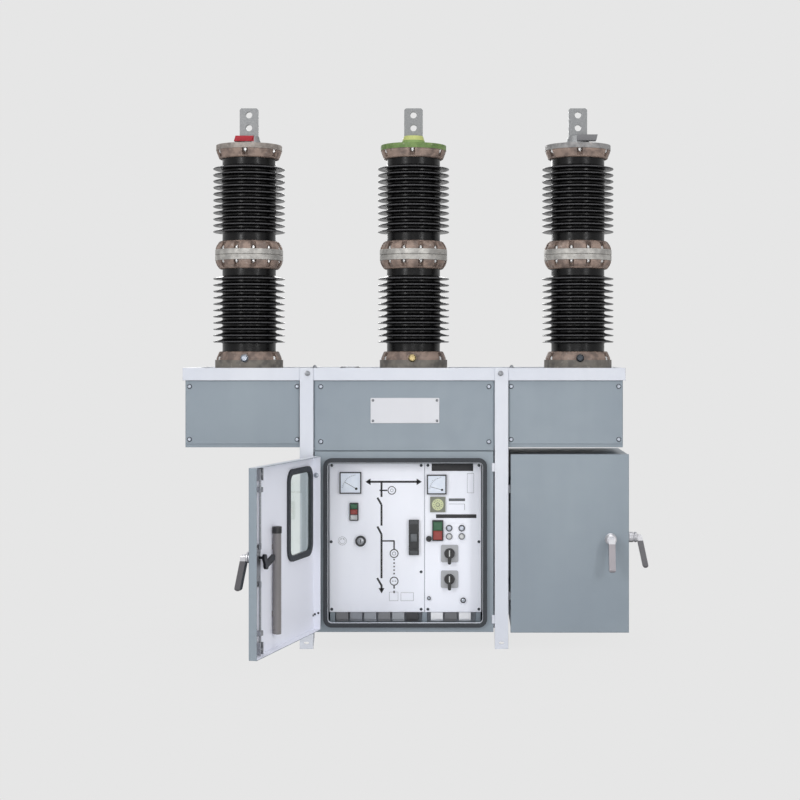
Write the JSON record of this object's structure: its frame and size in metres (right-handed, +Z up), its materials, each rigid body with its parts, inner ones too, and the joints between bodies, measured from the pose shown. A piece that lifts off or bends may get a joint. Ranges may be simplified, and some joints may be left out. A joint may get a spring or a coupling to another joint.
{
  "type": "outdoor vacuum circuit breaker",
  "caption": "Outdoor vacuum circuit breaker: porcelain poles on a steel housing and angle-iron legs, with an open control cabinet and a mechanism cabinet.",
  "frame": {"origin": "on the ground, midway between the four feet", "axes": "+Z up, front towards -Y, mechanism cabinet towards +X"},
  "size_m": [2.2471, 1.4247, 2.642],
  "materials": {
    "frame_white": "satin white paint",
    "cabinet_grey": "satin blue-grey paint",
    "panel_white": "matt white paint",
    "porcelain": "gloss black-brown glaze",
    "flange_casting": "matt brown paint",
    "terminal_alloy": "machined",
    "seal_rubber": "matt",
    "window_glass": "clear",
    "instrument_black": "satin",
    "knob_black": "satin",
    "rod_steel": "zinc plated",
    "handle_chrome": "bright chrome"
  },
  "bodies": {
    "frame": {"front_top_angle": "frame_white", "rear_top_angle": "frame_white", "end_top_angles": "frame_white", "front_left_leg": "frame_white", "front_right_leg": "frame_white", "rear_left_leg": "frame_white", "rear_right_leg": "frame_white", "cabinet_stays": "frame_white", "pole_housing": "cabinet_grey", "front_left_cover": "cabinet_grey", "front_middle_cover": "cabinet_grey", "front_right_cover": "cabinet_grey", "rear_covers": "cabinet_grey", "control_cabinet": "cabinet_grey", "mechanism_cabinet": "cabinet_grey", "left_base_flange": "flange_casting", "left_lower_insulator": "porcelain", "left_middle_flange": "flange_casting", "left_upper_insulator": "porcelain", "left_top_flange": "flange_casting", "left_terminal": "terminal_alloy", "middle_base_flange": "flange_casting", "middle_lower_insulator": "porcelain", "middle_middle_flange": "flange_casting", "middle_upper_insulator": "porcelain", "middle_top_flange": "flange_casting", "middle_terminal": "terminal_alloy", "right_base_flange": "flange_casting", "right_lower_insulator": "porcelain", "right_middle_flange": "flange_casting", "right_upper_insulator": "porcelain", "right_top_flange": "flange_casting", "right_terminal": "terminal_alloy", "door_seal": "seal_rubber", "nameplate": "panel_white", "mimic_panel": "panel_white", "switch_panel": "panel_white", "panel_posts": "panel_white", "terminal_rail": "cabinet_grey", "panel_instruments": "instrument_black"},
    "control_door": {"control_door": "cabinet_grey", "window_seal": "seal_rubber", "window_glass": "window_glass", "charging_lever": "rod_steel"},
    "control_door_handle": {"control_door_handle": "handle_chrome"},
    "upper_latch_rod": {"upper_latch_rod": "rod_steel"},
    "lower_latch_rod": {"lower_latch_rod": "rod_steel"},
    "mechanism_door": {"mechanism_door": "cabinet_grey"},
    "mechanism_door_handle": {"mechanism_door_handle": "handle_chrome"},
    "side_door": {"side_door": "cabinet_grey"},
    "side_door_handle": {"side_door_handle": "handle_chrome"},
    "upper_switch_knob": {"upper_switch_knob": "knob_black"},
    "lower_switch_knob": {"lower_switch_knob": "knob_black"}
  },
  "joints": [
    {"name": "control_door_swing", "type": "hinge", "parent": "frame", "child": "control_door", "pos_m": [-0.407, -0.309, 0.52], "axis": [0, 0, -1], "range_deg": [-104.5, 10.5]},
    {"name": "control_handle_turn", "type": "hinge", "parent": "control_door", "child": "control_door_handle", "pos_m": [-0.61266, -0.9964, 0.528], "axis": [0.9681, -0.2504, 0], "range_deg": [0, 90]},
    {"name": "upper_rod_slide", "type": "slide", "parent": "control_door", "child": "upper_latch_rod", "axis": [0, 0, -1], "range_m": [0, 0.021]},
    {"name": "lower_rod_slide", "type": "slide", "parent": "control_door", "child": "lower_latch_rod", "axis": [0, 0, 1], "range_m": [0, 0.021]},
    {"name": "mechanism_door_swing", "type": "hinge", "parent": "frame", "child": "mechanism_door", "pos_m": [0.521, -0.291, 0.51], "axis": [0, 0, -1], "range_deg": [0, 110]},
    {"name": "mechanism_handle_turn", "type": "hinge", "parent": "mechanism_door", "child": "mechanism_door_handle", "pos_m": [0.993, -0.302, 0.528], "axis": [0, 1, 0], "range_deg": [0, 90]},
    {"name": "side_door_swing", "type": "hinge", "parent": "frame", "child": "side_door", "pos_m": [1.087, 0.242, 0.51], "axis": [0, 0, 1], "range_deg": [0, 110]},
    {"name": "side_handle_turn", "type": "hinge", "parent": "side_door", "child": "side_door_handle", "pos_m": [1.081, -0.212, 0.528], "axis": [1, 0, 0], "range_deg": [0, 90]},
    {"name": "upper_switch_turn", "type": "hinge", "parent": "frame", "child": "upper_switch_knob", "pos_m": [0.218, -0.23, 0.4505], "axis": [0, -1, 0], "range_deg": [-45, 45]},
    {"name": "lower_switch_turn", "type": "hinge", "parent": "frame", "child": "lower_switch_knob", "pos_m": [0.218, -0.23, 0.326], "axis": [0, -1, 0], "range_deg": [-45, 45]}
  ],
  "couplings": [
    {"joint": "upper_rod_slide", "follows": "control_handle_turn", "m_per_rad": 0.012732},
    {"joint": "lower_rod_slide", "follows": "control_handle_turn", "m_per_rad": 0.012732}
  ]
}
